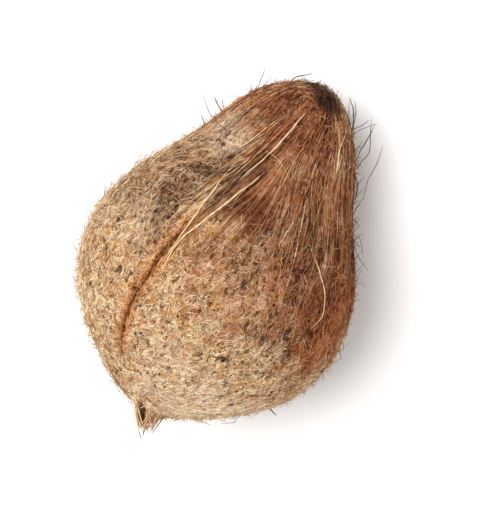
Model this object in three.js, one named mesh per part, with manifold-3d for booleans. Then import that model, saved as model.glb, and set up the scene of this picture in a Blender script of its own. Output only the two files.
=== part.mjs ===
// A mature coconut with its coir still on, lying on its side: one grown body of fibrous husk.
// Millimetres, +Z up. +X runs along the nut from its rounded blossom end to its narrow stem end,
// and the origin is the middle of the box's underside, on the surface that the nut lies on.

import * as THREE from 'three';
import { mergeVertices } from 'three/addons/utils/BufferGeometryUtils.js';
import Module from 'manifold-3d';

// Driving dimensions of the husk.
const LENGTH = 149; // along the nut's own axis, blossom end to stem end
const WIDEST_RADIUS = 57; // at the belly
const WIDEST_AT = 57; // the belly's distance from the blossom end
const NECK_AT = 113; // where the shoulder has drawn in to the snout
const NECK_RADIUS = 33;

// Places that the outline's curves are drawn towards between those, as (radius, along).
const BASE_EDGE = [14, 0];
const LOWER_BELLY = [WIDEST_RADIUS, 24];
const UPPER_BELLY = [WIDEST_RADIUS, 84];
const SHOULDER = [41, 96];
const SNOUT_SIDE = [28, 127];
const SNOUT_EDGE = [13, LENGTH];

// Three soft ridges, the sutures of the fruit's three carpels, which turn a little along the nut.
const RIDGES = 3;
const RIDGE_RISE = 0.022; // share of the local radius
const RIDGE_START_DEG = -38; // about +X from the top, at the blossom end
const RIDGE_TWIST_DEG = 39; // how far they have turned by the stem end

// One flank is flatter than the rest, where the nut grew against its neighbour in the bunch.
const FLAT_FLANK_DEG = 88; // about +X from the top
const FLAT_FLANK_AT = 90; // the flank's middle, from the blossom end
const FLAT_FLANK_DEPTH = 5.4; // how far inside the round it lies
const FLAT_FLANK_REACH = 38; // along the nut
const FLAT_FLANK_SPREAD_DEG = 46; // around it

// The nut's middle line sways to +Y at both ends, so neither end is dead centre.
const AXIS_SWAY = 1.1;

// How the nut lies: nose down, so that its weight is over the small flat spot it rests on.
const NOSE_DOWN_DEG = 14;
const FLAT_DEPTH = 1.5; // height taken off the round underside

// Fineness of the faceted surface.
const SIDES = 60;
const RINGS_PER_STRETCH = 15;
const MERGE_GAP = 1e-3; // corners closer than this are one

// Slow swells that keep the husk from being a turned shape: lobes about the axis,
// waves along it, size as a share of the local radius, and phase in radians.
const SWELLS = [
  { lobes: 1, waves: 0.9, size: 0.010, phase: 0.6 },
  { lobes: 2, waves: 0.7, size: 0.012, phase: 2.1 },
  { lobes: 4, waves: 1.6, size: 0.006, phase: 4.0 },
  { lobes: 5, waves: 2.3, size: 0.004, phase: 1.2 },
];

// Half outline of the nut as (radius, distance along the axis): base, shoulder and blunt snout.
function profile() {
  const point = ([radius, along]) => new THREE.Vector2(radius, along);
  const outline = new THREE.CurvePath();
  const belly = point([WIDEST_RADIUS, WIDEST_AT]);
  const neck = point([NECK_RADIUS, NECK_AT]);
  outline.add(new THREE.CubicBezierCurve(
    point([0, 0]), point(BASE_EDGE), point(LOWER_BELLY), belly));
  outline.add(new THREE.CubicBezierCurve(belly, point(UPPER_BELLY), point(SHOULDER), neck));
  outline.add(new THREE.CubicBezierCurve(
    neck, point(SNOUT_SIDE), point(SNOUT_EDGE), point([0, LENGTH])));
  const points = outline.curves.flatMap((curve, i) => {
    const spaced = curve.getSpacedPoints(RINGS_PER_STRETCH);
    return i === 0 ? spaced : spaced.slice(1);
  });
  points[0].x = 0;
  points[points.length - 1].x = 0;
  return points;
}

// Share by which the husk stands out or in at one place on its round.
function swell(angle, along) {
  const share = along / LENGTH;
  const ridgeAngle = THREE.MathUtils.degToRad(RIDGE_START_DEG + RIDGE_TWIST_DEG * share);
  const ridges = RIDGE_RISE * Math.cos(RIDGES * (angle - ridgeAngle));
  const slow = SWELLS.reduce((sum, { lobes, waves, size, phase }) =>
    sum + size * Math.sin(lobes * angle + 2 * Math.PI * waves * share + phase), 0);
  const fromFlank = THREE.MathUtils.euclideanModulo(
    angle - THREE.MathUtils.degToRad(FLAT_FLANK_DEG) + Math.PI, 2 * Math.PI) - Math.PI;
  const around = fromFlank / THREE.MathUtils.degToRad(FLAT_FLANK_SPREAD_DEG);
  const lengthwise = (along - FLAT_FLANK_AT) / FLAT_FLANK_REACH;
  const flat = FLAT_FLANK_DEPTH / WIDEST_RADIUS * Math.exp(-(around ** 2) - lengthwise ** 2);
  return 1 + ridges + slow - flat;
}

// The whole round nut, its axis along +X from the origin, angles counted about +X from the top.
function roundNut() {
  const nut = new THREE.LatheGeometry(profile(), SIDES);
  const place = nut.attributes.position;
  for (let i = 0; i < place.count; i += 1) {
    const along = place.getY(i);
    const radius = Math.hypot(place.getX(i), place.getZ(i));
    const angle = Math.atan2(place.getX(i), place.getZ(i));
    const grown = radius * swell(angle, along);
    const sway = AXIS_SWAY * Math.cos(2 * Math.PI * along / LENGTH);
    place.setXYZ(i, along, sway - grown * Math.sin(angle), grown * Math.cos(angle));
  }
  return nut.rotateY(THREE.MathUtils.degToRad(NOSE_DOWN_DEG));
}

// A three.js geometry as a manifold-3d solid, its shared vertices merged.
function solidOf(geometry, wasm) {
  const bare = geometry.clone();
  bare.deleteAttribute('normal');
  bare.deleteAttribute('uv');
  const merged = mergeVertices(bare, MERGE_GAP);
  return new wasm.Manifold(new wasm.Mesh({
    numProp: 3,
    vertProperties: new Float32Array(merged.attributes.position.array),
    triVerts: new Uint32Array(merged.index.array),
  }));
}

function geometryOf(solid) {
  const mesh = solid.getMesh();
  const geometry = new THREE.BufferGeometry();
  geometry.setAttribute('position', new THREE.BufferAttribute(mesh.vertProperties, 3));
  geometry.setIndex(new THREE.BufferAttribute(mesh.triVerts, 1));
  geometry.computeVertexNormals();
  return geometry;
}

// The nut with the small flat it lies on, kept above a level plane near its lowest point.
function restingNut(wasm) {
  const nut = roundNut();
  nut.computeBoundingBox();
  const floor = nut.boundingBox.min.z + FLAT_DEPTH;
  const side = 4 * LENGTH; // more than takes in the whole nut
  const above = new THREE.BoxGeometry(side, side, side).translate(0, 0, floor + side / 2);
  const kept = geometryOf(solidOf(nut, wasm).intersect(solidOf(above, wasm)));
  kept.computeBoundingBox();
  const middle = kept.boundingBox.getCenter(new THREE.Vector3());
  return kept.translate(-middle.x, -middle.y, -kept.boundingBox.min.z);
}

const wasm = await Module();
wasm.setup();

const coir = new THREE.MeshStandardMaterial({ color: '#b78b60', roughness: 0.95, metalness: 0 });
const husk = new THREE.Mesh(restingNut(wasm), coir);
husk.name = 'coconut';

const coconut = new THREE.Group();
coconut.add(husk);

export default coconut;
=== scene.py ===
# %% [markdown]
# # A coconut with its coir still on
#
# A mature coconut is one grown thing: a hard shell wrapped in coir. On this nut the smooth outer
# rind is gone, so the coir shows: a mat of short felted fibres over the belly, long strands combed
# back from the stem end, a dark scar where the stem sat, and a torn tuft at the other end.
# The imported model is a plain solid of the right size. This lesson keeps that size and grows the
# coir on it, mostly with Geometry Nodes, because a husk is the same few kinds of fibre repeated
# many thousands of times.

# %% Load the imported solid
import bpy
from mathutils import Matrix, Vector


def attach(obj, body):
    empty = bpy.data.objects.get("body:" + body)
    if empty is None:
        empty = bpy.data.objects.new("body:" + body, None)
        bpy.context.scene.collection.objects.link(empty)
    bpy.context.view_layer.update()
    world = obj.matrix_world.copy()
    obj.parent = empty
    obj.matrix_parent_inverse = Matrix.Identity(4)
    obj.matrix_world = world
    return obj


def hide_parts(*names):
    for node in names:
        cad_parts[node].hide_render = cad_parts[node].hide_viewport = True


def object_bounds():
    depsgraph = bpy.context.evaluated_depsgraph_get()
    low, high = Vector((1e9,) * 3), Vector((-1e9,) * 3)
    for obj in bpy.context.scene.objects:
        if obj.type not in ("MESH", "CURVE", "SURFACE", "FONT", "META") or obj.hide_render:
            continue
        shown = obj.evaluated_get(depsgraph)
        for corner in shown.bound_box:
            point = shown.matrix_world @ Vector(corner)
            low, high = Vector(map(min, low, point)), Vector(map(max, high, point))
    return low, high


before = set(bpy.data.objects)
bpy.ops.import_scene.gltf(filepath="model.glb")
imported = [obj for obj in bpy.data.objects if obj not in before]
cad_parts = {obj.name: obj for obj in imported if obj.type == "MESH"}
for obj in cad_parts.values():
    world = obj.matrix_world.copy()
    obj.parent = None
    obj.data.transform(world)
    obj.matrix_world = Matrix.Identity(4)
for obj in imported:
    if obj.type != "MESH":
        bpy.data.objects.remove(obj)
cad_box = [list(corner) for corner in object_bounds()]

import math
import random

import bmesh
import bpy
import numpy as np
from mathutils import Matrix, Vector, noise
from mathutils.bvhtree import BVHTree

MM = 0.001
cad_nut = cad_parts["coconut"]
print("solid box in mm:", [[round(c / MM, 1) for c in corner] for corner in cad_box])


def add(name, data):
    made = bpy.data.objects.new(name, data)
    bpy.context.collection.objects.link(made)
    return made


# %% [markdown]
# ## Finding one's way on a nut
# Everything on the husk is placed by two numbers, as on a globe: `along` is the share of the way
# from the blossom end (0) to the stem end (1), and `turn` is the angle about the nut's own axis,
# 0 on top and positive towards -Y. The nut lies nose down, so its axis is tilted in the frame.

# %% The nut's own axis
NOSE_DOWN = math.radians(14)
AXIS = Vector((math.cos(NOSE_DOWN), 0, -math.sin(NOSE_DOWN)))
TOP = Vector((math.sin(NOSE_DOWN), 0, math.cos(NOSE_DOWN)))
SIDE = AXIS.cross(TOP)
corners = sorted((v.co.copy() for v in cad_nut.data.vertices), key=AXIS.dot)
BLOSSOM_END, STEM_END = corners[0], corners[-1]
LENGTH = (STEM_END - BLOSSOM_END).length
print("the nut is", round(LENGTH / MM, 1), "mm long, end to end")


def hub(along):
    return BLOSSOM_END.lerp(STEM_END, along)


def spoke(turn):
    return TOP * math.cos(math.radians(turn)) + SIDE * math.sin(math.radians(turn))


# %% [markdown]
# ## Camera
# The nut is looked down on from nearly straight above, with its nose to the upper right. Turning
# the camera about its own line of sight, and not the nut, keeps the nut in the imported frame.

# %% Camera
CAMERA_HIGH = math.radians(80)  # above the floor, on the nose's side
NOSE_IN_VIEW = math.radians(61.7)  # the nose's direction, anticlockwise from the view's right
VIEW_TALL = 202 * MM  # what the view takes in at the nut's middle
AIM_RIGHT, AIM_UP = 5.3 * MM, -3.5 * MM
SENSOR, LENS = 36, 100

middle = (Vector(cad_box[0]) + Vector(cad_box[1])) / 2
back = Vector((math.cos(CAMERA_HIGH), 0, math.sin(CAMERA_HIGH)))
nose = (Vector((1, 0, 0)) - back * back.x).normalized()
beside_nose = back.cross(nose)
view_right = nose * math.cos(NOSE_IN_VIEW) - beside_nose * math.sin(NOSE_IN_VIEW)
view_up = nose * math.sin(NOSE_IN_VIEW) + beside_nose * math.cos(NOSE_IN_VIEW)
aim = middle + view_right * AIM_RIGHT + view_up * AIM_UP
distance = VIEW_TALL * LENS / SENSOR

lens = bpy.data.cameras.new("view")
lens.lens, lens.sensor_width = LENS, SENSOR
camera = add("view", lens)
turned = Matrix((view_right, view_up, back)).transposed().to_4x4()
camera.matrix_world = Matrix.Translation(aim + back * distance) @ turned
bpy.context.scene.camera = camera
print("camera", round(distance, 3), "m away")

# %% [markdown]
# ## Node helpers
# Light, materials and Geometry Nodes are all node trees. One helper adds a node and fills its
# sockets, with a number or with a wire, so that each tree below reads as a short recipe.

# %% Node helpers


def socket(sockets, name):
    return next(s for s in sockets if s.name == name and s.enabled)


def put(tree, kind, wires=None, **settings):
    made = tree.nodes.new(kind)
    for setting, value in settings.items():
        setattr(made, setting, value)
    for name, value in (wires or {}).items():
        plug = made.inputs[name] if isinstance(name, int) else socket(made.inputs, name)
        if isinstance(value, bpy.types.NodeSocket):
            tree.links.new(value, plug)
        else:
            plug.default_value = value
    return made


def maths(tree, operation, *values):
    made = put(tree, "ShaderNodeMath", dict(enumerate(values)), operation=operation)
    return made.outputs[0]
def times(tree, first, *others):
    for other in others:
        first = maths(tree, "MULTIPLY", first, other)
    return first


def plus(tree, first, *others):
    for other in others:
        first = maths(tree, "ADD", first, other)
    return first


def vectors(tree, operation, *values, result="Vector"):
    made = put(tree, "ShaderNodeVectorMath", dict(enumerate(values)), operation=operation)
    return made.outputs[result]


def scaled(tree, vector, by):
    made = put(tree, "ShaderNodeVectorMath", {"Vector": vector, "Scale": by}, operation="SCALE")
    return made.outputs["Vector"]
def spread(tree, value, low, high, to_low=0.0, to_high=1.0):
    """A value that runs from low to high, made to run from to_low to to_high."""
    made = put(tree, "ShaderNodeMapRange", {"Value": value, "From Min": low, "From Max": high,
                                            "To Min": to_low, "To Max": to_high})
    return made.outputs["Result"]


def ripples(tree, where, scale, detail=2.0, **more):
    """A noise over the given places: Fac is one number for each, Color is three."""
    return put(tree, "ShaderNodeTexNoise", {"Vector": where, "Scale": scale, "Detail": detail,
                                            **more}).outputs


def sway(tree, colour, reach):
    """A noise's three numbers as a push to any side."""
    return scaled(tree, vectors(tree, "SUBTRACT", colour, (0.5, 0.5, 0.5)), reach)


def linear(hex_colour):
    """A colour written as on a paint chart, as the linear values that nodes take."""
    parts = [int(hex_colour[i:i + 2], 16) / 255 for i in (1, 3, 5)]
    return [p / 12.92 if p <= 0.04045 else ((p + 0.055) / 1.055) ** 2.4 for p in parts] + [1]


# %% [markdown]
# ## Light and floor
# One broad soft light from the view's left and a pale surround from everywhere else. The floor is
# nearly white, so what is left on it is a soft shadow on the nut's right.

# %% Light and floor
LIGHT_HIGH = math.radians(68)
LIGHT_TURN = math.radians(163)  # anticlockwise from the view's right
SUN_STRENGTH, SUN_SPREAD = 3.1, math.radians(28)
SURROUND = 0.88
FLOOR_REACH = 12.0

across = view_right * math.cos(LIGHT_TURN) + view_up * math.sin(LIGHT_TURN)
towards_light = across * math.cos(LIGHT_HIGH) + back * math.sin(LIGHT_HIGH)
sun_data = bpy.data.lights.new("window", "SUN")
sun_data.energy, sun_data.angle = SUN_STRENGTH, SUN_SPREAD
sun = add("window", sun_data)
sun.rotation_mode = "QUATERNION"
sun.rotation_quaternion = towards_light.to_track_quat("Z", "Y")

world = bpy.data.worlds.new("studio")
world.use_nodes = True
bpy.context.scene.world = world
sky = world.node_tree
sky.nodes.clear()
lit = put(sky, "ShaderNodeBackground", {"Color": (1, 0.965, 0.94, 1), "Strength": SURROUND})
seen = put(sky, "ShaderNodeBackground", {"Color": (1, 1, 1, 1), "Strength": 1.0})
rays = put(sky, "ShaderNodeLightPath")
choice = put(sky, "ShaderNodeMixShader",
             {0: rays.outputs["Is Camera Ray"], 1: lit.outputs[0], 2: seen.outputs[0]})
put(sky, "ShaderNodeOutputWorld", {"Surface": choice.outputs[0]})

corner_signs = [(-1, -1), (1, -1), (1, 1), (-1, 1)]
floor_mesh = bpy.data.meshes.new("floor")
floor_mesh.from_pydata([(x * FLOOR_REACH, y * FLOOR_REACH, 0) for x, y in corner_signs],
                       [], [(0, 1, 2, 3)])
floor = add("floor", floor_mesh)
paper = bpy.data.materials.new("paper")
paper.use_nodes = True
paper_shader = paper.node_tree.nodes["Principled BSDF"]
paper_shader.inputs["Base Color"].default_value = (0.74, 0.74, 0.74, 1)
paper_shader.inputs["Roughness"].default_value = 1.0
paper_shader.inputs["Specular IOR Level"].default_value = 0.0
floor_mesh.materials.append(paper)
bpy.context.scene.view_settings.view_transform = "Standard"

# %% [markdown]
# ## The husk's skin: an even grid
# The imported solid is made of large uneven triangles, which can't carry fine relief. A copy of it
# is merged, remeshed to an even grid and smoothed, and then drawn in a little so that the felt
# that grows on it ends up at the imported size. Subdividing the triangles would keep their slivers.

# %% An even skin
SKIN_GRID = 0.84 * MM
SKIN_SMOOTHING = 25
FELT_DEPTH = 0.7 * MM
MERGE_GAP = 0.001 * MM

merged = cad_nut.data.copy()
build = bmesh.new()
build.from_mesh(merged)
bmesh.ops.remove_doubles(build, verts=build.verts, dist=MERGE_GAP)
build.to_mesh(merged)
build.free()
husk = add("husk", merged)
remesh = husk.modifiers.new("even grid", "REMESH")
remesh.mode, remesh.voxel_size = "VOXEL", SKIN_GRID
smooth = husk.modifiers.new("round off", "SMOOTH")
smooth.factor, smooth.iterations = 0.5, SKIN_SMOOTHING


def evaluated_mesh(thing):
    graph = bpy.context.evaluated_depsgraph_get()
    return bpy.data.meshes.new_from_object(thing.evaluated_get(graph), depsgraph=graph)


even = evaluated_mesh(husk)
husk.modifiers.clear()
husk.data = even
count = len(even.vertices)
place = np.zeros(count * 3)
outward = np.zeros(count * 3)
even.vertices.foreach_get("co", place)
even.vertex_normals.foreach_get("vector", outward)
place = place.reshape(-1, 3) - outward.reshape(-1, 3) * FELT_DEPTH
even.vertices.foreach_set("co", place.ravel())
even.update()
print("skin:", count, "corners,", len(even.polygons), "faces")

guide = BVHTree.FromObject(husk, bpy.context.evaluated_depsgraph_get())


def on_husk(along, turn, lift=0.0):
    """The point of the smooth skin at that share along and turn, lifted off it in metres."""
    spot, normal, _, _ = guide.ray_cast(hub(along), spoke(turn))
    return spot + normal * lift


# %% [markdown]
# ## Marks: where the husk is dark, warm, creased or combed
# A real husk is not evenly coloured. Soil, damp and bruises leave dark stains, one flank is
# redder, and a suture runs down the top. The suture's groove, the pits and the cleft are also
# painted darker, as painted shade in those hollows. Each mark is a soft blot at a place on the
# globe, with an edge broken up by noise. The strongest blot at each point is kept as an attribute
# of the skin, so that the skin's material and every fibre that grows there can read the same
# value. An image painted by hand would do this too, but it would have to be kept beside the script.

# %% Where each point of the skin is
EDGE_NOISE = 9 * MM  # size of the noise that breaks up the marks' edges
blossom, stem_way, side_way, top_way = (np.array(way) for way in (
    BLOSSOM_END, (STEM_END - BLOSSOM_END) / LENGTH, SIDE, TOP))
share = (place - blossom) @ stem_way / LENGTH
from_axis = place - blossom - np.outer(share * LENGTH, stem_way)
angle = np.degrees(np.arctan2(from_axis @ side_way, from_axis @ top_way))
ragged = np.array([noise.fractal(Vector(p) / EDGE_NOISE, 0.9, 2.1, 4) for p in place])


def between(value, low, high):
    """0 below low, 1 above high, and smooth between, whichever of the two is larger."""
    x = np.clip((value - low) / (high - low), 0, 1)
    return x * x * (3 - 2 * x)


def angle_from(turn):
    return np.abs((angle - turn + 180) % 360 - 180)


def blot(along, turn, long, wide, raggedness=0.45):
    """1 inside an oval mark, long along the nut and wide around it, in mm, and 0 outside it."""
    away = place - np.array(on_husk(along, turn))
    lengthwise = away @ stem_way
    sideways = np.sqrt(np.maximum((away ** 2).sum(1) - lengthwise ** 2, 0))
    reach = np.hypot(lengthwise / (long * MM), sideways / (wide * MM))
    return between(reach + ragged * raggedness, 1.3, 0.5)


def blots(marks):
    total = np.zeros(count)
    for along, turn, long, wide, strength in marks:
        total = np.maximum(total, strength * blot(along, turn, long, wide))
    return total


# %% Places of the marks
STAINS = [  # along, turn, half length and half width in mm, strength
    (0.60, -29, 15, 9, 0.8), (0.65, -22, 8, 6, 0.9), (0.52, -31, 13, 10, 0.75), (0.58, -4, 16, 7, 0.85),
    (0.53, 30, 17, 12, 0.65), (0.36, 31, 13, 9, 0.4), (0.44, 47, 20, 11, 0.45), (0.45, 10, 14, 8, 0.35),
    (0.30, 40, 9, 6, 0.35), (0.64, 60, 20, 11, 0.25), (0.86, -20, 14, 10, 0.55), (0.80, 20, 12, 9, 0.3),
    (0.57, -52, 30, 24, 0.4), (0.93, -35, 7, 5, 0.9), (0.42, -30, 12, 8, 0.35), (0.70, 12, 14, 8, 0.3),
    (0.49, 30, 14, 10, 0.55), (0.66, -6, 9, 3.5, 1.0), (0.59, -11, 9, 3.5, 1.0), (0.78, 0, 10, 4, 0.5),
    (0.57, 4, 13, 10, 0.6), (0.60, 32, 9, 6, 0.3), (0.50, 120, 20, 16, 0.6), (0.33, 150, 16, 12, 0.5),
    (0.62, -110, 15, 12, 0.6), (0.30, -130, 18, 10, 0.5), (0.70, 170, 14, 14, 0.7),
    (0.10, -100, 9, 9, 0.45),
]
WARMTH = [  # as the stains
    (0.66, 75, 36, 30, 0.75), (0.45, 58, 26, 24, 0.85), (0.48, 30, 22, 18, 0.7),
    (0.86, 0, 26, 26, 0.75), (0.86, 130, 26, 26, 0.75), (0.86, -110, 26, 26, 0.6),
    (0.70, -2, 22, 12, 0.6), (0.24, 60, 22, 12, 0.35), (0.42, 10, 24, 26, 0.35),
    (0.64, 28, 24, 20, 0.6), (0.58, 0, 16, 12, 0.75), (0.62, -45, 22, 20, 0.2),
    (0.01, 40, 8, 8, 0.4), (0.45, 140, 30, 26, 0.5), (0.55, -150, 26, 20, 0.5),
]
GREY = [  # as the stains
    (0.71, -35, 12, 9, 1.0), (0.74, -52, 10, 7, 0.9), (0.42, -38, 13, 9, 0.4), (0.08, 35, 20, 20, 1.0),
    (0.13, 0, 14, 16, 0.5), (0.35, -75, 20, 10, 0.5), (0.12, 70, 20, 16, 0.8), (0.30, 170, 22, 16, 0.6),
]
SCAR = (0.955, 27, 9.5, 9.5)  # along, turn, half length and half width in mm
SUTURE = [  # along, turn
    (0.82, -1), (0.72, -7), (0.655, -11.5), (0.60, -13), (0.53, -14.8), (0.46, -17.5),
    (0.40, -20.5), (0.32, -22.5), (0.24, -26), (0.15, -29), (0.10, -31),
]
LUMPS = [  # along, turn, half width and rise in mm; where the rise is below 0 the husk is sunken
    (0.34, 86, 22, -1.5), (0.955, -52, 11, -1.6), (0.965, -28, 5, -1.0), (0.02, 30, 6.0, 1.6),
    (0.50, 17, 22, 0.8), (0.28, -50, 20, 0.6), (0.40, -160, 24, 0.9), (0.30, 130, 18, 0.8),
]
PITS = [  # along, turn, half width and depth in mm
    (0.178, -17.5, 1.3, 1.5), (0.162, -13.0, 1.4, 1.8), (0.218, 20.7, 1.5, 1.1), (0.132, 38.8, 1.8, 1.0),
    (0.293, -35.8, 1.6, 0.9), (0.935, 18, 3.2, 2.2), (0.40, 108, 2.2, 1.2), (0.22, -118, 2.0, 1.2),
    (0.30, 200, 2.4, 1.2), (0.55, -95, 1.9, 1.0),
]

# %% Lines over the skin


def route_points(route, steps=14):
    """Points of a smooth line through the (along, turn, lift in mm) places of a route."""
    stops = [np.array((*stop, 0)[:3], float) for stop in route]
    stops = [stops[0], *stops, stops[-1]]
    found = []
    for p0, p1, p2, p3 in zip(stops, stops[1:], stops[2:], stops[3:]):
        for t in np.arange(steps) / steps:
            along, turn, lift = (2 * p1 + (p2 - p0) * t + (2 * p0 - 5 * p1 + 4 * p2 - p3) * t ** 2
                                 + (3 * p1 - p0 - 3 * p2 + p3) * t ** 3) / 2
            found.append(on_husk(along, turn, lift * MM))
    found.append(on_husk(stops[-1][0], stops[-1][1], stops[-1][2] * MM))
    return found


def near_route(route, width):
    """1 on a line over the skin, fading to 0 at width away from it, in metres."""
    line = np.array(route_points(route))
    nearest = np.full(count, 1e9)
    for point in line:
        nearest = np.minimum(nearest, ((place - point) ** 2).sum(1))
    return np.exp(-nearest / width ** 2)


# %% [markdown]
# The suture is a groove in a shallow bed, and near the snout it gapes as a cleft. The marks
# are kept under plain names. The groove, the pits and the cleft are painted dark as shade: they
# join the real stains in one mark, and the cleft also joins the scar's dark mark. `felt` says where
# short fibres grow: not where the strands are combed, in the groove, in a pit or on the scar.
# `hollow` is how far the skin is pressed in.

# %% Keep the marks on the skin
GROOVE_WIDTH, GROOVE_DEPTH = 0.75 * MM, 1.6 * MM
BED_WIDTH, BED_DEPTH = 3.4 * MM, 0.35 * MM
CLEFT_WIDTH, CLEFT_DEPTH = 1.6 * MM, 0.6 * MM
SCAR_DEPTH = 0.8 * MM

suture_ends = between(share, 0.08, 0.16) * between(share, 0.9, 0.75)
groove = near_route(SUTURE, GROOVE_WIDTH) * suture_ends * (0.75 + 0.5 * ragged)
bed = near_route(SUTURE, BED_WIDTH) * between(share, 0.08, 0.16) * between(share, 0.60, 0.42)
# The cleft is pressed in, and is also painted dark as shade.
cleft = near_route(SUTURE[1:5], CLEFT_WIDTH) * (0.95 + 0.5 * ragged)
scar = np.maximum(blot(*SCAR), between(share + 0.01 * ragged, 0.965, 0.985))
hollow = GROOVE_DEPTH * groove + BED_DEPTH * bed + SCAR_DEPTH * scar + CLEFT_DEPTH * cleft
pits = np.zeros(count)
for along, turn, radius, depth in PITS:
    pit = blot(along, turn, radius, radius, 0.1)
    pits = np.maximum(pits, pit)
    hollow += depth * MM * pit
for along, turn, radius, rise in LUMPS:
    hollow -= rise * MM * blot(along, turn, radius, radius, 0.15)

felted_side = between(angle_from(-62), 52, 34)
combed = np.maximum.reduce([
    # all round the snout, then the right flank, the top and the underside
    between(share + 0.03 * ragged - 0.13 * felted_side, 0.62, 0.80),
    0.95 * between(angle_from(72) + 14 * ragged, 42, 24) * between(share + 0.06 * ragged, 0.46, 0.62),
    0.9 * between(angle_from(10) + 12 * ragged, 30, 14) * between(share, 0.54, 0.7),
    0.8 * between(angle_from(165) + 14 * ragged, 40, 20) * between(share, 0.35, 0.5),
])
felted = (1 - 0.8 * combed) * (1 - np.minimum(1, 1.5 * groove))
crossed = 0.35 * between(share, 0.72, 0.8) + 0.65 * between(share, 0.86, 0.94)
marks = {
    # Real stains and painted shade share this mark: the groove, the pits and the cleft are darkened as
    # shade.
    "stain": np.maximum.reduce([blots(STAINS), groove, pits, cleft]),
    "warm": blots(WARMTH),
    "grey": blots(GREY),
    "bed": bed,
    # The cleft joins the scar's dark mark here as painted shade.
    "scar": np.maximum(scar, 0.8 * cleft),
    "combed": combed,
    "felt": felted * (1 - np.minimum(1, 3 * pits)) * (1 - scar),
    "everywhere": np.ones(count),
    "tip": crossed * (1 - 0.7 * scar),
    "hollow": hollow,
}
for name, values in marks.items():
    layer = husk.data.attributes.new(name, "FLOAT", "POINT")
    layer.data.foreach_set("value", np.clip(values, -1, 1).astype(np.float32))
print("combed share of the skin:", round(float(combed.mean()), 2))

# %% [markdown]
# ## Relief
# Under the loose fibres the coir itself is lumpy, furrowed lengthwise, and pocked where fibres
# have come out. Three noises push the skin in and out, two of them stretched along the nut. It is
# real geometry, so the light catches it from every side, and a node tree is quicker here than a
# Python loop.

# %% Helpers for Geometry Nodes
KINDS = {float: "Float", int: "Int", str: "String", type(None): "Material"}


def tree_with(name, inputs):
    """A Geometry Nodes tree with a mesh or curve in and out, and named inputs."""
    tree = bpy.data.node_groups.new(name, "GeometryNodeTree")
    tree.interface.new_socket("Geometry", in_out="INPUT", socket_type="NodeSocketGeometry")
    for label, value in inputs.items():
        kind = "NodeSocket" + KINDS[type(value)]
        made = tree.interface.new_socket(label, in_out="INPUT", socket_type=kind)
        if value is not None:
            made.default_value = value
    tree.interface.new_socket("Geometry", in_out="OUTPUT", socket_type="NodeSocketGeometry")
    return tree, put(tree, "NodeGroupInput").outputs


def attribute(tree, name, kind="FLOAT"):
    made = put(tree, "GeometryNodeInputNamedAttribute", {"Name": name}, data_type=kind)
    return socket(made.outputs, "Attribute")


def store(tree, geometry, name, value, kind="FLOAT", domain="POINT"):
    made = put(tree, "GeometryNodeStoreNamedAttribute",
               {"Geometry": geometry, "Name": name, "Value": value},
               data_type=kind, domain=domain)
    return made.outputs["Geometry"]


def grown(name, source, tree, **values):
    """What a tree makes of a mesh or curve, as a plain mesh on a new object at the origin."""
    made = add(name, source)
    growth = made.modifiers.new("growth", "NODES")
    growth.node_group = tree
    for item in tree.interface.items_tree:
        if item.in_out == "INPUT" and item.name in values:
            growth[item.identifier] = values[item.name]
    mesh = evaluated_mesh(made)
    made.modifiers.clear()
    made.data = mesh
    mesh.name = name
    sides = sum(len(f.vertices) - 2 for f in mesh.polygons)
    print(f"{name}: {len(mesh.polygons)} faces, {sides} triangles")
    return made


def here_in(tree):
    return put(tree, "GeometryNodeInputPosition").outputs[0]


FAR_OFF = 9  # metres, past any piece


def placed(tree, geometry, at, gap):
    """The geometry moved to these places, but nowhere closer to the floor than the gap."""
    high = vectors(tree, "MAXIMUM", at, (-FAR_OFF, -FAR_OFF, gap))
    return put(tree, "GeometryNodeSetPosition", {"Geometry": geometry, "Position": high}).outputs[0]


# %% Press the relief into the skin
SKIN_GAP = 0.1 * MM  # the skin's least height over the floor
FURROW_STRETCH = 0.28

relief, pin = tree_with("coir relief", {"Lumps": 0.5 * MM, "Furrows": 0.32 * MM, "Pocks": 0.5 * MM})
where = here_in(relief)
laid = put(relief, "ShaderNodeVectorRotate", {"Vector": where, "Angle": -NOSE_DOWN},
           rotation_type="Y_AXIS").outputs[0]
stretched = vectors(relief, "MULTIPLY", laid, (FURROW_STRETCH, 1, 1))
lumps = ripples(relief, where, 55.0)["Fac"]
furrows = ripples(relief, stretched, 620.0, Distortion=0.6)["Fac"]
pocks = ripples(relief, stretched, 330.0, 1.0, Distortion=1.2)["Fac"]
height = plus(
    relief,
    times(relief, maths(relief, "SUBTRACT", lumps, 0.5), pin["Lumps"]),
    times(relief, maths(relief, "SUBTRACT", furrows, 0.5), pin["Furrows"]),
    times(relief, spread(relief, pocks, 0.52, 0.72, 0.0, -1.0), pin["Pocks"]),
    times(relief, attribute(relief, "hollow"), -1.0))
pushed = scaled(relief, put(relief, "GeometryNodeInputNormal").outputs[0], height)
moved = placed(relief, pin["Geometry"], vectors(relief, "ADD", where, pushed), SKIN_GAP)
whole = put(relief, "GeometryNodeRealizeInstances", {"Geometry": moved})
put(relief, "NodeGroupOutput", {"Geometry": whole.outputs[0]})

smooth_skin = husk.data
bpy.data.objects.remove(husk)
husk = grown("husk", smooth_skin, relief)
husk.data.polygons.foreach_set("use_smooth", [True] * len(husk.data.polygons))

# %% [markdown]
# ## A map for baking
# A skin that is to be baked needs a flat map. Latitude and turn give one without a solver: every
# corner's turn is the map's width, and its angle from the nut's axis, seen from the middle, is
# the map's height. Faces that cross the back line have their low corners carried over by one.

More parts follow.
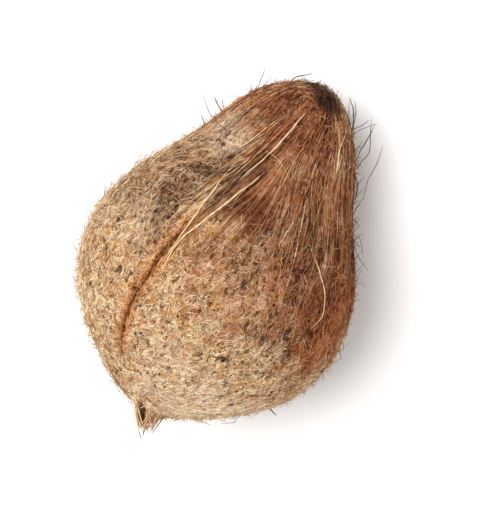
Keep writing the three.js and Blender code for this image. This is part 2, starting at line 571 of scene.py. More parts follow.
# %% The skin's map
MAP_CENTRE = 0.42  # share of the way along the nut
MAP_WIDTH = 1.02  # turns, so that there is room for the corners that are carried over
skin_mesh = husk.data
spots = np.zeros(len(skin_mesh.vertices) * 3)
skin_mesh.vertices.foreach_get("co", spots)
from_centre = spots.reshape(-1, 3) - np.array(hub(MAP_CENTRE))
lengthwise = from_centre @ stem_way
aside = from_centre - np.outer(lengthwise, stem_way)
turned = np.arctan2(aside @ side_way, aside @ top_way) / math.tau + 0.5
leaning = np.arctan2(np.linalg.norm(aside, axis=1), -lengthwise) / math.pi
corner_at = np.zeros(len(skin_mesh.loops), np.int32)
skin_mesh.loops.foreach_get("vertex_index", corner_at)
across_map = turned[corner_at]
face_at = np.zeros(len(skin_mesh.loops), np.int32)
for face in skin_mesh.polygons:
    face_at[face.loop_start:face.loop_start + face.loop_total] = face.index
widest = np.zeros(len(skin_mesh.polygons))
np.maximum.at(widest, face_at, across_map)
carried = across_map + (widest[face_at] - across_map > 0.5)
skin_map = skin_mesh.uv_layers.new(name="OFBake")
skin_map.data.foreach_set("uv", np.stack([carried / MAP_WIDTH, leaning[corner_at]], 1).ravel())
print("map covers turn 0 to", round(float(carried.max()), 3))

# %% [markdown]
# ## Colour
# Dry coir runs from straw through ochre to nearly black brown. One shared group turns a fibre's
# `tone` into such a colour, and then dyes it by the marks painted on the skin, which hold painted
# shade in the groove, pits and cleft as well as real stains, and by specks, which are stretched
# along the nut. The skin and each kind of fibre use it with their own values.

# %% Colour of coir
TONES = [(0.0, "#220f04"), (0.2, "#5c3215"), (0.42, "#9a6e45"), (0.68, "#cfab80"),
         (0.88, "#ebd5af"), (1.0, "#f6ebd0")]


def read(tree, name):
    return put(tree, "ShaderNodeAttribute", attribute_name=name).outputs["Fac"]


def lengthwise_place(tree, squeeze):
    """Object coordinates turned to the nut's axis and squeezed along it, so patterns stretch."""
    body = put(tree, "ShaderNodeTexCoord").outputs["Object"]
    return put(tree, "ShaderNodeMapping", {"Vector": body, "Rotation": (0, NOSE_DOWN, 0),
                                           "Scale": (squeeze, 1, 1)}).outputs[0]


colouring = bpy.data.node_groups.new("coir colour", "ShaderNodeTree")
for label, value in {"Tone": 0.6, "Stain and Shade": 0.8, "Specks": 0.8, "Marks": 1.0}.items():
    made = colouring.interface.new_socket(label, in_out="INPUT", socket_type="NodeSocketFloat")
    made.default_value = value
colouring.interface.new_socket("Color", in_out="OUTPUT", socket_type="NodeSocketColor")
pin = put(colouring, "NodeGroupInput").outputs
body = put(colouring, "ShaderNodeTexCoord").outputs["Object"]
clouds = ripples(colouring, body, 75.0)["Fac"]
blush = ripples(colouring, body, 260.0)["Fac"]
speck = ripples(colouring, lengthwise_place(colouring, 0.5), 620.0, Distortion=0.8)["Fac"]
mottle = times(colouring, maths(colouring, "SUBTRACT", clouds, 0.5), 0.35)
toned = plus(colouring, pin["Tone"], mottle)
toned = maths(colouring, "MULTIPLY_ADD", read(colouring, "grey"), 0.07, toned)
ramp = put(colouring, "ShaderNodeValToRGB", {"Fac": toned})
stops = ramp.color_ramp.elements
while len(stops) < len(TONES):
    stops.new(1.0)
for stop, (at, colour) in zip(stops, TONES):
    stop.position, stop.color = at, linear(colour)


def mark(name):
    return times(colouring, read(colouring, name), pin["Marks"])


# %% Dyes and painted shade over the tone
# Real stains and the painted shade of the groove, pits and cleft, read from one mark; specks gather
# there too.
dirt_and_shade = times(colouring, read(colouring, "stain"), pin["Stain and Shade"])
gather = maths(colouring, "MULTIPLY_ADD", dirt_and_shade, 0.19, speck)
gather = maths(colouring, "MULTIPLY_ADD", clouds, 0.1, gather)
dyes = [  # where it lies, its colour, how it takes
    (spread(colouring, blush, 0.52, 0.7), "#f7dccf", "MULTIPLY"),
    (spread(colouring, blush, 0.48, 0.34), "#f8e3bd", "MULTIPLY"),
    (mark("warm"), "#cb7f40", "MULTIPLY"),
    (mark("bed"), "#f0c18e", "MULTIPLY"),
    (times(colouring, mark("grey"), 0.25), "#e2d3c2", "MIX"),
    # Darkens the stains, and the groove, pits and cleft as painted shade.
    (times(colouring, dirt_and_shade, 0.75), "#8c5a40", "MULTIPLY"),
    (times(colouring, spread(colouring, gather, 0.62, 0.71), pin["Specks"]), "#5c3418", "MULTIPLY"),
    # The scar's own dark colour, laid also on the cleft as painted shade.
    (mark("scar"), "#5f3c2b", "MULTIPLY"),
]
colour = ramp.outputs["Color"]
for strength, dye, blend in dyes:
    mixed = put(colouring, "ShaderNodeMix", {"Factor": strength, "A": colour, "B": linear(dye)},
                data_type="RGBA", blend_type=blend)
    colour = socket(mixed.outputs, "Result")
put(colouring, "NodeGroupOutput", {"Color": colour})


def matte(name, roughness):
    made = bpy.data.materials.new(name)
    made.use_nodes = True
    shader = made.node_tree.nodes["Principled BSDF"]
    shader.inputs["Roughness"].default_value = roughness
    shader.inputs["Specular IOR Level"].default_value = 0.25
    return made, made.node_tree, shader


def coloured(tree, tone, stain, specks, marks):
    dyed = put(tree, "ShaderNodeGroup", node_tree=colouring)
    tree.links.new(tone, dyed.inputs["Tone"])
    dyed.inputs["Stain and Shade"].default_value = stain
    dyed.inputs["Specks"].default_value = specks
    dyed.inputs["Marks"].default_value = marks
    return dyed.outputs["Color"]


# %% [markdown]
# ## Finishes
# The skin between the fibres is the same coir, matted down: darker, with a fine grain that also
# bumps the light. Where combed strands lie over it, the skin is painted darker still, as painted
# shade under them. Every fibre is matt, and its own tone makes it stand off from its neighbours.

# %% Finishes
skin_coir, tree, shader = matte("matted coir", 0.95)
grain = ripples(tree, lengthwise_place(tree, 0.6), 1100.0, 3.0, Roughness=0.7, Distortion=1.0)["Fac"]
# Painted shade: the skin's tone drops where combed strands lie over it.
shade_under_strands = times(tree, read(tree, "combed"), -0.22)
tone = plus(tree, spread(tree, grain, 0.36, 0.66, 0.2, 0.9), shade_under_strands)
tree.links.new(coloured(tree, tone, 1.0, 1.0, 1.0), shader.inputs["Base Color"])
bump = put(tree, "ShaderNodeBump", {"Height": grain, "Strength": 0.7, "Distance": 0.35 * MM})
tree.links.new(bump.outputs["Normal"], shader.inputs["Normal"])
husk.data.materials.clear()
husk.data.materials.append(skin_coir)


FIBRE_ROUGHNESS = 0.75


def fibre_finish(name, darkest, palest, stain, specks, marks=1.0):
    """A finish whose tone runs from darkest to palest, and how strongly it takes each mark."""
    made, tree, shader = matte(name, FIBRE_ROUGHNESS)
    tone = spread(tree, read(tree, "tone"), 0.0, 1.0, darkest, palest)
    body = put(tree, "ShaderNodeTexCoord").outputs["Object"]
    uneven = spread(tree, ripples(tree, body, 420.0)["Fac"], 0.3, 0.7, -0.12, 0.12)
    colour = coloured(tree, plus(tree, tone, uneven), stain, specks, marks)
    tree.links.new(colour, shader.inputs["Base Color"])
    return made


felt_coir = fibre_finish("felted fibre", 0.45, 1.05, 0.9, 0.8)
combed_coir = fibre_finish("combed fibre", -0.02, 0.78, 0.8, 0.3)
bright_coir = fibre_finish("bright fibre", 0.4, 0.94, 0.5, 0.2, 0.8)
crossing_coir = fibre_finish("crossing fibre", 0.2, 0.84, 0.2, 0.2, 0.9)
straw_coir = fibre_finish("pale straw", 0.72, 0.95, 0.0, 0.1, 0.3)
flap_coir = fibre_finish("torn fibre", 0.38, 0.95, 0.0, 0.2, 0.5)
dark_coir = fibre_finish("dark hair", 0.08, 0.3, 0.0, 0.0, 0.3)

# %% [markdown]
# ## Spinning a fibre
# Every fibre is a thin closed tube with three sides, thicker or thinner by chance and tapered to
# its tip: few faces, because there are tens of thousands. This inner tree turns any curves into
# such tubes. It stores a tone per fibre for the colour, and a cell of its own on a flat map.

# %% Spun fibre tree
SPIN_INPUTS = {"Thickness": 0.3 * MM, "Tip": 0.3, "Seed": 1, "Material": None}
FIBRE_SIDES = 3
CELL_MARGIN = 0.1
spin, pin = tree_with("spun fibre", SPIN_INPUTS)


def random_number(tree, low, high, number, seed, salt=0.0):
    made = put(tree, "FunctionNodeRandomValue", {
        "Min": low, "Max": high, "ID": number, "Seed": maths(tree, "ADD", seed, salt)})
    return socket(made.outputs, "Value")


def run_and_fibre(tree):
    """How far along its fibre each point is, from 0 to 1, and that fibre's number."""
    return (put(tree, "GeometryNodeSplineParameter").outputs["Factor"],
            put(tree, "GeometryNodeCurveOfPoint").outputs["Curve Index"])


run, fibre = run_and_fibre(spin)
strands = store(spin, pin["Geometry"], "run", run)
strands = store(spin, strands, "tone", random_number(spin, 0.0, 1.0, fibre, pin["Seed"], 3.0))
strands = store(spin, strands, "number", fibre)
from_middle = maths(spin, "ABSOLUTE", maths(spin, "MULTIPLY_ADD", run, 2.0, -1.0))
narrowing = times(spin, maths(spin, "SUBTRACT", 1.0, pin["Tip"]),
                  maths(spin, "POWER", from_middle, 3.0))
girth = times(spin, maths(spin, "SUBTRACT", 1.0, narrowing), pin["Thickness"],
              random_number(spin, 0.65, 1.35, fibre, pin["Seed"]))
ring = put(spin, "GeometryNodeCurvePrimitiveCircle", {"Resolution": FIBRE_SIDES, "Radius": 0.5})
around = store(spin, ring.outputs[0], "around", run)
tubes = put(spin, "GeometryNodeCurveToMesh", {"Curve": strands, "Profile Curve": around,
                                              "Scale": girth, "Fill Caps": True}).outputs[0]

# %% A cell of the map for each fibre
size = put(spin, "GeometryNodeAttributeDomainSize", {"Geometry": pin["Geometry"]},
           component="CURVE")
cells = maths(spin, "CEIL", maths(spin, "SQRT", size.outputs["Spline Count"]))
column = maths(spin, "FLOORED_MODULO", attribute(spin, "number"), cells)
row = maths(spin, "FLOOR", maths(spin, "DIVIDE", attribute(spin, "number"), cells))


def in_cell(place, cell):
    inside = maths(spin, "MULTIPLY_ADD", place, 1 - 2 * CELL_MARGIN, CELL_MARGIN)
    return maths(spin, "DIVIDE", plus(spin, cell, inside), cells)


flat = put(spin, "ShaderNodeCombineXYZ", {"X": in_cell(attribute(spin, "run"), column),
                                          "Y": in_cell(attribute(spin, "around"), row)})
tubes = store(spin, tubes, "OFBake", flat.outputs[0], "FLOAT2", "CORNER")
soft = put(spin, "GeometryNodeSetShadeSmooth", {"Geometry": tubes})
put(spin, "NodeGroupOutput", {"Geometry": soft.outputs[0]})

# %% What every fibre tree ends with
FLOOR_GAP = 0.6 * MM  # a fibre's least height over the floor
# Fibres take these marks from the skin under them, the painted shade of the groove, pits and cleft among
# them.
MARKS = ("stain", "warm", "grey", "scar", "bed")


def skin_of(tree):
    return put(tree, "GeometryNodeObjectInfo", {"Object": husk}).outputs["Geometry"]


def finish_fibres(tree, strands, places, pin):
    """Lay the strands, spin them, give them the nearest skin's marks and their material."""
    made = put(tree, "GeometryNodeGroup", node_tree=spin)
    tree.links.new(placed(tree, strands, places, FLOOR_GAP), made.inputs["Geometry"])
    for name in ("Thickness", "Tip", "Seed"):
        tree.links.new(pin[name], made.inputs[name])
    marked = made.outputs[0]
    skin = skin_of(tree)
    for name in MARKS:
        near = put(tree, "GeometryNodeSampleNearestSurface",
                   {"Mesh": skin, "Value": attribute(tree, name)}, data_type="FLOAT")
        marked = store(tree, marked, name, socket(near.outputs, "Value"))
    whole = put(tree, "GeometryNodeRealizeInstances", {"Geometry": marked})
    dyed = put(tree, "GeometryNodeSetMaterial", {"Geometry": whole.outputs[0],
                                                 "Material": pin["Material"]})
    put(tree, "NodeGroupOutput", {"Geometry": dyed.outputs[0]})


def lifted(tree, pin, arch_chance, rise_chance, lateness, least):
    """How far off the skin each point is: a bow between the ends, and a tip that works loose."""
    run, _ = run_and_fibre(tree)
    bow = times(tree, run, maths(tree, "SUBTRACT", 1.0, run), 4.0, pin["Arch"], arch_chance)
    loose = times(tree, maths(tree, "POWER", run, lateness), pin["Rise"], rise_chance)
    return plus(tree, bow, loose, least)


# %% [markdown]
# ## Felt
# The belly is felted: short fibres lie on the skin every way, curl, and cross each other. The
# tree scatters points by a zone painted on the skin, lays a short line on each, bends all lines
# by one field of noise, presses them back onto the skin, and lifts their middles and tips a
# little. Hair particles could do this too, but they don't leave a plain mesh.

# %% Felt tree: sow and lay the fibres
felt, pin = tree_with("felt", {
    "Per Square Metre": 1e5, "Zone": "felt", "Length": 8 * MM, "Scatter": 360.0, "Curl": 2 * MM,
    "Curl Size": 5 * MM, "Arch": 0.5 * MM, "Rise": 0.3 * MM, "Points": 5, **SPIN_INPUTS})
density = times(felt, attribute(felt, pin["Zone"]), pin["Per Square Metre"])
sown = put(felt, "GeometryNodeDistributePointsOnFaces",
           {"Mesh": pin["Geometry"], "Density": density, "Seed": pin["Seed"]})
number = put(felt, "GeometryNodeInputIndex").outputs[0]
seed = pin["Seed"]
normal = sown.outputs["Normal"]
roots = store(felt, sown.outputs["Points"], "upward", normal, "FLOAT_VECTOR")
heading = times(felt, pin["Scatter"], 0.5, random_number(felt, -1.0, 1.0, number, seed))
lengthways = put(felt, "ShaderNodeVectorRotate", {
    "Vector": tuple(AXIS), "Axis": normal, "Angle": maths(felt, "RADIANS", heading)})
lie = put(felt, "FunctionNodeAxesToRotation",
          {"Primary Axis": normal, "Secondary Axis": lengthways.outputs[0]},
          primary_axis="Z", secondary_axis="X")
size = times(felt, pin["Length"], random_number(felt, 0.5, 1.5, number, seed, 5.0))
line = put(felt, "GeometryNodeCurvePrimitiveLine", {"Start": (-0.5, 0, 0), "End": (0.5, 0, 0)})
line = put(felt, "GeometryNodeResampleCurve", {"Curve": line.outputs[0], "Count": pin["Points"]})
strewn = put(felt, "GeometryNodeInstanceOnPoints", {
    "Points": roots, "Instance": line.outputs[0], "Rotation": lie.outputs[0], "Scale": size})
strewn = put(felt, "GeometryNodeRealizeInstances", {"Geometry": strewn.outputs[0]}).outputs[0]

# %% Felt tree: curl the fibres over the skin
here = here_in(felt)
_, fibre = run_and_fibre(felt)
curls = maths(felt, "DIVIDE", 1.0, pin["Curl Size"])
wander = put(felt, "ShaderNodeTexNoise", {
    "Vector": scaled(felt, here, curls), "W": times(felt, fibre, 0.37),
    "Scale": 1.0, "Detail": 0.0}, noise_dimensions="4D")
curled = sway(felt, wander.outputs["Color"], times(felt, pin["Curl"], 2.0))
touch = put(felt, "GeometryNodeProximity", {
    "Geometry": pin["Geometry"], "Sample Position": vectors(felt, "ADD", here, curled)})
lift = lifted(felt, pin, random_number(felt, 0.0, 1.0, fibre, seed, 11.0),
              random_number(felt, 0.0, 1.0, fibre, seed, 23.0), 1.6,
              times(felt, pin["Thickness"], 0.3))
lain = vectors(felt, "ADD", touch.outputs["Position"],
               scaled(felt, attribute(felt, "upward", "FLOAT_VECTOR"), lift))
finish_fibres(felt, strewn, lain, pin)

# %% Grow the felt
pieces = [husk]


def grow_felt(name, seed, density, length, thickness, finish, **more):
    values = {"Per Square Metre": density, "Length": length * MM, "Thickness": thickness * MM,
              "Seed": seed, "Material": finish}
    pieces.append(grown(name, husk.data.copy(), felt, **values, **more))


FELT_LAYERS = 6
for layer in range(FELT_LAYERS):
    grow_felt(f"felt_{layer + 1}", 40 + layer, 2.0e5, 3.4 + 0.5 * layer, 0.3 - 0.02 * layer,
              felt_coir, **{"Curl": 1.4 * MM, "Curl Size": 2.2 * MM, "Arch": 0.45 * MM,
                            "Rise": 0.3 * MM})
grow_felt("fuzz", 77, 1.6e5, 4.5, 0.22, bright_coir, Zone="everywhere", **{
    "Curl": 2.4 * MM, "Curl Size": 4 * MM, "Arch": 0.3 * MM, "Rise": 3.2 * MM})
grow_felt("tip_crossings", 91, 2.4e5, 13.0, 0.24, crossing_coir, Zone="tip", **{
    "Curl": 2.5 * MM, "Curl Size": 8 * MM, "Arch": 1.0 * MM, "Rise": 1.2 * MM, "Points": 8})

# %% [markdown]
# ## Combed strands
# From the stem end long strands run back over the nut. Each one is placed by the same two
# numbers as everything else: `along` falls and `turn` drifts as the strand runs, and neighbours
# gather into locks. A ray from the axis finds the skin there. A groom of guide hairs would give
# the same look, but this rule keeps every strand on the nut and needs no drawing by hand.

# %% Combed tree: the route of a strand
combing, pin = tree_with("combed strands", {
    "Strands": 500, "Start": 0.98, "Start Spread": 0.08, "Reach": 0.4, "Turn": 0.0,
    "Turn Spread": 180.0, "Drift": -8.0, "Drift Spread": 8.0, "Wander": 3.0, "Lock": 7.0,
    "Gather": 0.5, "Arch": 0.6 * MM, "Rise": 1.0 * MM, "Points": 22, **SPIN_INPUTS})
line = put(combing, "GeometryNodeCurvePrimitiveLine", {"Start": (0, 0, 0), "End": (1, 0, 0)})
line = put(combing, "GeometryNodeResampleCurve",
           {"Curve": line.outputs[0], "Count": pin["Points"]})
many = put(combing, "GeometryNodeDuplicateElements",
           {"Geometry": line.outputs[0], "Amount": pin["Strands"]}, domain="SPLINE").outputs[0]
run, fibre = run_and_fibre(combing)
NEAREST_END = 0.99  # no strand starts closer than this share to the stem end


def chance(low, high, salt):
    return random_number(combing, low, high, fibre, pin["Seed"], salt)


start = maths(combing, "MULTIPLY_ADD", chance(-1.0, 1.0, 1.0), pin["Start Spread"], pin["Start"])
start = maths(combing, "MINIMUM", start, NEAREST_END)
reach = times(combing, pin["Reach"], chance(0.35, 1.25, 2.0))
along = maths(combing, "SUBTRACT", start, times(combing, reach, run))
rooted = maths(combing, "MULTIPLY_ADD", chance(-1.0, 1.0, 4.0), pin["Turn Spread"], pin["Turn"])
drifted = maths(combing, "MULTIPLY_ADD", chance(-1.0, 1.0, 6.0), pin["Drift Spread"],
                pin["Drift"])
turn = maths(combing, "MULTIPLY_ADD", drifted, run, rooted)
nearest_lock = maths(combing, "ROUND", maths(combing, "DIVIDE", turn, pin["Lock"]))
lock = times(combing, nearest_lock, pin["Lock"])
gathered = times(combing, run, pin["Gather"], maths(combing, "SUBTRACT", lock, turn))
turn = plus(combing, turn, gathered)
bends = ripples(combing, put(combing, "ShaderNodeCombineXYZ", {
    "X": times(combing, along, 14.0), "Y": times(combing, fibre, 7.3)}).outputs[0], 1.0, 1.0)
turn = maths(combing, "MULTIPLY_ADD", maths(combing, "SUBTRACT", bends["Fac"], 0.5),
             times(combing, pin["Wander"], 2.0), turn)
turn = maths(combing, "RADIANS", turn)

# %% Combed tree: down onto the husk
RAY_REACH = 0.2  # metres, well past the husk
centre = vectors(combing, "ADD", scaled(combing, tuple(STEM_END - BLOSSOM_END), along),
                 tuple(BLOSSOM_END))
outwards = vectors(combing, "ADD", scaled(combing, tuple(TOP), maths(combing, "COSINE", turn)),
                   scaled(combing, tuple(SIDE), maths(combing, "SINE", turn)))
hit = put(combing, "GeometryNodeRaycast",
          {"Target Geometry": skin_of(combing), "Source Position": centre,
           "Ray Direction": outwards, "Ray Length": RAY_REACH})
laid = store(combing, many, "laid", hit.outputs["Hit Position"], "FLOAT_VECTOR")
laid = store(combing, laid, "upward", hit.outputs["Hit Normal"], "FLOAT_VECTOR")


def evened(name, rounds):
    return put(combing, "GeometryNodeBlurAttribute",
               {"Value": attribute(combing, name, "FLOAT_VECTOR"), "Iterations": rounds},
               data_type="FLOAT_VECTOR").outputs[0]


lift = lifted(combing, pin, chance(0.0, 1.0, 8.0), chance(0.0, 1.0, 9.0), 3.0, pin["Thickness"])
lain = vectors(combing, "ADD", evened("laid", 3), scaled(combing, evened("upward", 4), lift))
finish_fibres(combing, laid, lain, pin)

# %% Comb the strands
COMBED = {  # strands, start, spread, reach, turn, spread, drift, spread, thickness, points, finish
    "crown": (900, 0.96, 0.05, 0.17, 0, 180, -4, 14, 0.36, 13, combed_coir),
    "crown_over": (760, 0.95, 0.06, 0.2, 0, 180, -4, 28, 0.28, 14, bright_coir),
    "suture_locks": (300, 0.86, 0.10, 0.36, 2, 13, -15, 5, 0.36, 18, combed_coir),
    "suture_over": (110, 0.86, 0.10, 0.40, 3, 12, -15, 8, 0.36, 18, bright_coir),
    "fan": (360, 0.88, 0.09, 0.28, 24, 18, 1, 10, 0.36, 16, combed_coir),
    "fan_over": (240, 0.88, 0.08, 0.36, 22, 18, -1, 20, 0.31, 17, bright_coir),
    "right_flank": (800, 0.92, 0.10, 0.36, 76, 34, 4, 10, 0.36, 18, combed_coir),
    "right_over": (460, 0.92, 0.14, 0.42, 70, 34, 4, 22, 0.31, 17, bright_coir),
    "left_shoulder": (200, 0.95, 0.05, 0.2, -60, 34, 2, 8, 0.34, 14, combed_coir),
    "underside": (760, 0.93, 0.08, 0.5, 190, 75, 5, 12, 0.38, 14, combed_coir),
    "under_over": (260, 0.92, 0.10, 0.5, 190, 75, 5, 16, 0.42, 14, bright_coir),
}
nothing = bpy.data.meshes.new("nothing")
for row, (name, numbers) in enumerate(COMBED.items()):
    strands, start, start_spread, reach, turn, turn_spread = numbers[:6]
    drift, drift_spread, thick, points, finish = numbers[6:]
    pieces.append(grown(name, nothing.copy(), combing, **{
        "Strands": strands, "Start": start, "Start Spread": start_spread, "Reach": reach,
        "Turn": float(turn), "Turn Spread": float(turn_spread), "Drift": float(drift),
        "Drift Spread": float(drift_spread), "Thickness": thick * MM, "Seed": 300 + row,
        "Points": points, "Material": finish}))

# %% [markdown]
# ## Strands laid one by one
# Some strands are landmarks: pale straws beside the suture, edge lines, long hairs that stand off
# the nut, and the torn tuft at the blossom end. Each is a route of (along, turn, lift in mm)
# places, given one by one. Hundreds of small wisps have no place of their own, so a rule lays them.
# The tree that spins all these gives them a small waver, so that none is a drawn line.

# %% Laid tree
laying, pin = tree_with("laid strands", {"Waver": 0.3 * MM, **SPIN_INPUTS})
drawn = put(laying, "GeometryNodeMeshToCurve", {"Mesh": pin["Geometry"]}).outputs[0]
here = here_in(laying)
shake = sway(laying, ripples(laying, here, 160.0)["Color"], times(laying, pin["Waver"], 4.0))
finish_fibres(laying, drawn, vectors(laying, "ADD", here, shake), pin)


def over_husk(routes):
    return [route_points(route, steps=8) for route in routes]


def lay(name, lines_of_points, thickness, finish, seed=7, waver=0.25, tip=0.35):
    spots, links = [], []
    for line in lines_of_points:
        links += [(len(spots) + i, len(spots) + i + 1) for i in range(len(line) - 1)]
        spots += line
    lines = bpy.data.meshes.new(name)
    lines.from_pydata(spots, links, [])
    pieces.append(grown(name, lines, laying, **{
        "Waver": waver * MM, "Thickness": thickness * MM, "Tip": tip, "Seed": seed,
        "Material": finish}))


# %% Pale straws
OVER = 0.9
PALE_STRAWS = [
    [(0.65, -18, OVER), (0.621, -18.7, OVER), (0.548, -17.4, 1.1), (0.465, -17.6, OVER),
     (0.401, -18.2, OVER), (0.35, -19.3, 0.6)],
    [(0.656, -3.9, OVER), (0.595, -7.9, 1.1), (0.524, -11.3, OVER), (0.465, -14.8, OVER),
     (0.415, -17.3, OVER), (0.35, -18.0, 0.7)],
    [(0.622, 20.3, OVER), (0.534, 16.9, OVER), (0.496, 15.7, OVER), (0.467, 14.2, 0.5)],
    [(0.722, 19, OVER), (0.65, 23, OVER), (0.597, 23.6, 1.2), (0.488, 25.8, OVER),
     (0.418, 27.4, 0.6)],
    [(0.588, 25.3, OVER), (0.541, 35.6, OVER), (0.496, 44.1, 1.1), (0.437, 50.1, OVER),
     (0.386, 47.5, 0.5)],
    [(0.87, 1, OVER), (0.82, -1.5, 1.4), (0.743, -5.3, 1.4), (0.685, -8.8, OVER),
     (0.626, -11.6, 0.7)],
    [(0.898, 55.6, 1.0), (0.833, 41.8, 1.2), (0.768, 42.4, 1.0), (0.689, 40.7, 0.7)],
    [(0.287, 31, 0.8), (0.265, 30.5, 1.0), (0.244, 31.2, 0.7)],
]
EDGE_LINES = [
    [(0.40, -80, 0.5), (0.305, -77.6, 0.6), (0.236, -69.4, 0.6), (0.163, -67.2, 0.6),
     (0.096, -71.1, 0.6), (0.047, -75.7, 0.5)],
    [(0.389, -73.5, 0.5), (0.299, -61.4, 0.6), (0.222, -56.9, 0.6), (0.152, -52.9, 0.5),
     (0.096, -46.4, 0.4)],
    [(0.075, -5.6, 0.4), (0.08, 16.9, 0.5), (0.102, 36.9, 0.4)],
    [(0.069, 38, 0.4), (0.104, 57.9, 0.6), (0.16, 66.3, 0.6), (0.211, 69.6, 0.4)],
    [(0.166, 47.1, 0.4), (0.229, 55.6, 0.6), (0.303, 61, 0.4)],
    [(0.244, 31.2, 0.6), (0.22, 37, 0.6), (0.2, 44.1, 0.4)],
    [(0.289, -25.2, 0.8), (0.278, -19.3, 1.2), (0.268, -14.1, 0.8), (0.288, -10.2, 0.6),
     (0.296, -5.3, 0.8), (0.277, -2.9, 0.5)],
    [(0.727, -12.4, 1.0), (0.713, 2.2, 1.2), (0.678, 12.1, 0.8)],
]
# Dark strands laid in the suture's groove and its cleft, as painted shade.
SUTURE_SHADE_STRANDS = [[(along, turn, 0.0) for along, turn in SUTURE[3:]],
               [(along, turn + 0.6, 0.1) for along, turn in SUTURE[1:5]],
               [(along, turn - 0.4, 0.0) for along, turn in SUTURE[5:8]]]
lay("suture_dark", over_husk(SUTURE_SHADE_STRANDS), 0.5, dark_coir, seed=4, waver=0.35)
lay("pale_straws", over_husk(PALE_STRAWS), 0.55, straw_coir, seed=5)
lay("edge_lines", over_husk(EDGE_LINES), 0.34, straw_coir, seed=6)

# %% Routes of the long hairs
DARK_HAIRS = [
    [(0.89, -82, 0), (0.895, -82.6, 2), (0.91, -82.2, 4.8), (0.92, -80.8, 7.3)],
    [(0.736, -14, 0.6), (0.73, -25.2, 0.8), (0.732, -41.7, 0.8), (0.756, -68.8, 0.9),
     (0.766, -83.4, 2.9), (0.784, -85.1, 10.6)],
    [(0.79, -80, 0), (0.799, -84.2, 7.3)],
    [(0.795, -80, 0), (0.811, -84.4, 4.7)],
    [(0.74, -84, 0), (0.746, -85.2, 5.1)],
    [(0.931, -40.7, 0.5), (0.976, -73.4, 1.2), (0.987, -63.7, 2.2)],
    [(0.90, 83, 0.2), (0.911, 82.7, 1.2), (0.934, 80.5, 3), (0.95, 79.6, 3.9),
     (0.966, 74.4, 4.4)],
    [(0.90, 83, 0.2), (0.916, 81.9, 1.9), (0.941, 79.4, 4.3), (0.96, 76.7, 5.9)],
    [(0.90, 83, 0.2), (0.911, 82.7, 1.2), (0.917, 81.6, 5.3), (0.922, 80.9, 8.8)],
    [(0.89, 84, 0.2), (0.901, 83.8, 1.2), (0.911, 82.6, 5.7), (0.913, 81.6, 11.6)],
    [(0.80, 68.2, 0.3), (0.834, 86.2, 2.2), (0.855, 85, 5.8), (0.88, 83, 7.3),
     (0.904, 81.5, 8.3), (0.924, 80.3, 9.8)],
    [(0.82, 85, 0.2), (0.839, 86, 0.7), (0.865, 84.4, 3.2), (0.887, 83.4, 6.3),
     (0.914, 82.2, 10.3)],
    [(0.83, 86, 0.2), (0.817, 87.1, 0.9), (0.782, 87.3, 2.4), (0.745, 87.5, 1.9)],
    [(0.75, 88, 2.5), (0.758, 87.6, 5), (0.804, 86.5, 6.4), (0.835, 85.7, 9),
     (0.871, 83.9, 12.2)],
    [(0.699, 86.1, 0.2), (0.719, 87.2, 1.7), (0.747, 86.8, 4.2)],
    [(0.10, -74, 0.3), (0.062, -76.2, 0.9), (0.031, -75.3, 1.4), (0.019, -72.8, 2.9)],
    [(0.167, 86, 0.1), (0.167, 88.3, 1.2), (0.173, 87.3, 4)],
]
GOLDEN_HAIRS = [
    [(0.675, 70.5, 0.2), (0.665, 85.6, 0.6), (0.615, 84.5, 2.6), (0.583, 84, 6.4)],
    [(0.66, 84, 0.2), (0.658, 85.3, 0.5), (0.656, 85.4, 3.6), (0.614, 84.6, 4.6)],
    [(0.56, 67.8, 0.3), (0.566, 80, 0.8), (0.571, 84.5, 1.6)],
    [(0.503, 62.8, 0.3), (0.525, 70.5, 1.4), (0.548, 72.8, 0.8)],
    [(0.378, 64.8, 0.3), (0.374, 75, 1.4), (0.364, 88.6, 1.0)],
    [(0.055, 66, 0.2), (0.055, 72.5, 0.8), (0.069, 82.4, 3.5)],
    [(0.102, 70, 0.2), (0.102, 84.5, 2.5), (0.082, 86, 2.6)],
    [(0.09, -55, 0.3), (0.055, -57.4, 0.7), (0.023, -64.6, 0.9), (0.014, -70.4, 1.9)],
    [(0.09, -50, 0.3), (0.046, -55.4, 0.8), (0.029, -40, 1.0), (0.01, -54.2, 1.4)],
    [(0.45, 110, 0.2), (0.40, 118, 1.6), (0.38, 121, 4.5)],
    [(0.62, 200, 0.2), (0.58, 206, 2.0), (0.52, 207, 3.0)],
    [(0.72, -120, 0.2), (0.68, -126, 1.8), (0.66, -133, 4.5)],
    [(0.33, -120, 0.2), (0.29, -124, 1.8), (0.27, -131, 3.0)],
]

# %% Wisps and long hairs
wisp_chances = random.Random(31)
WISP_STEPS = 4


def wisp(along, turn, lift):
    """A loose hair that leaves the husk at that place, bends as it likes and ends in the air."""
    stops = [(along, turn, 0.2)]
    headed, swing = wisp_chances.uniform(-1, 1), wisp_chances.uniform(-1, 1)
    for step in range(1, WISP_STEPS + 1):
        headed += 0.5 * swing + wisp_chances.uniform(-0.3, 0.3)
        along += 0.014 * math.cos(headed)
        turn += 2.2 * math.sin(headed)
        stops.append((min(along, 0.97), turn, lift * (step / WISP_STEPS) ** 1.6))
    return stops


WISPS = [  # how many, along from and to, turn from and to, how far they stand off in mm
    (60, 0.50, 0.93, 72, 92, 5.0), (40, 0.10, 0.9, -90, -70, 3.5), (60, 0.1, 0.95, 90, 270, 4.0),
    (40, 0.72, 0.96, -70, 70, 3.0), (30, 0.04, 0.4, -70, 90, 2.5),
]
wisps = [wisp(wisp_chances.uniform(low, high), wisp_chances.uniform(left, right),
              rise * wisp_chances.uniform(0.3, 1.2))
         for number, low, high, left, right, rise in WISPS for _ in range(number)]
lay("wisps", over_husk(wisps), 0.2, dark_coir, seed=10, waver=0.4)
lay("dark_hairs", over_husk(DARK_HAIRS), 0.42, dark_coir, seed=8, waver=0.35)
lay("golden_hairs", over_husk(GOLDEN_HAIRS), 0.36, combed_coir, seed=9, waver=0.35)
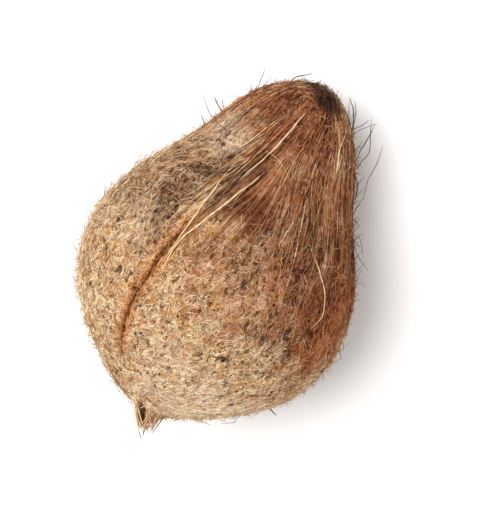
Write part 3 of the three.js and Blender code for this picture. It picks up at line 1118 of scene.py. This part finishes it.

# %% [markdown]
# ## The torn nub
# At the blossom end a nub of husk was torn, and a frayed flap is left beside a narrow dark slot.
# Its strands don't follow the round of the nut, so they get two directions of their own: down
# the nub, and across it. A stout bundle makes the flap, a thin one the rim past the slot, and a
# dark one lies deeper between the two, as painted shade in the slot.

# %% Torn nub
NUB_DOWN = (SIDE * 0.47 - AXIS * 0.88).normalized()
NUB_ACROSS = (SIDE * 0.88 + AXIS * 0.47).normalized()
NUB_LEAN = (-3.5, 1.5)  # mm that a strand leans down or up by its tip
NUB_SUNK, NUB_LIFT = 0.2 * MM, 0.3 * MM  # a strand closer to the skin than this is lifted to that
nub_root = on_husk(0.025, 4)
chances = random.Random(12)


def nub_place(across, down, up):
    """A place on the nub, in mm from its root, kept outside the skin."""
    spot = nub_root + (NUB_ACROSS * across + NUB_DOWN * down + TOP * up) * MM
    nearest, normal, _, _ = guide.find_nearest(spot)
    return spot if (spot - nearest).dot(normal) > NUB_SUNK else nearest + normal * NUB_LIFT


def nub_bundle(strands, roots, ends, depth, bow=0.8):
    """Strands between two spans, (across, across, down, down), at a range of depths."""
    bundle = []
    for _ in range(strands):
        x0, x1 = chances.uniform(*roots[:2]), chances.uniform(*ends[:2])
        y0, y1 = chances.uniform(*roots[2:]), chances.uniform(*ends[2:])
        up = chances.uniform(*depth)
        swell, lean = chances.uniform(0, bow), chances.uniform(*NUB_LEAN)
        bundle.append([nub_place(x0 + (x1 - x0) * t + swell * math.sin(math.pi * t),
                                 y0 + (y1 - y0) * t, up + lean * t) for t in np.arange(8) / 7])
    return bundle


flap = nub_bundle(70, (-1.6, 7.5, -3.5, 2.0), (-3.4, 1.6, 5.4, 11.2), (-5.0, 0.8))
rim = nub_bundle(20, (-5.8, -3.8, -3.5, 0.5), (-4.6, -2.4, 6.0, 10.8), (-4.5, -0.3), -1.2)
# Dark strands deep in the slot, as painted shade.
slot_shade = nub_bundle(60, (-4.6, -0.8, -2.5, 1.0), (-4.0, -1.6, 5.5, 9.2), (-6.5, -2.6))
ends = [[nub_place(*spot) for spot in route] for route in (
    [(-5.0, 4.5, -3), (-5.1, 6.7, -3), (-4.6, 9.2, -3), (-3.9, 11.4, -3), (-3.0, 13.4, -3)],
    [(6.3, 1.5, -2), (6.2, 3.0, -2), (5.0, 5.2, -2), (3.4, 7.4, -2), (0.8, 11.0, -2)],
    [(-2.0, 9.0, -3), (-2.5, 10.6, -3), (-2.6, 12.2, -3)],
)]
lay("torn_flap", flap + rim, 0.5, flap_coir, seed=13, waver=0.45, tip=0.4)
lay("torn_slot", slot_shade, 0.6, dark_coir, seed=15, waver=0.3, tip=0.5)
lay("torn_ends", ends, 0.4, dark_coir, seed=14, waver=0.2)

# %% [markdown]
# ## One body
# Every piece rides on the nut's one body. The skin stands for the imported solid, which is hidden.

# %% Ride on the body and hide the solid
for piece in pieces:
    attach(piece, "root")
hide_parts("coconut")
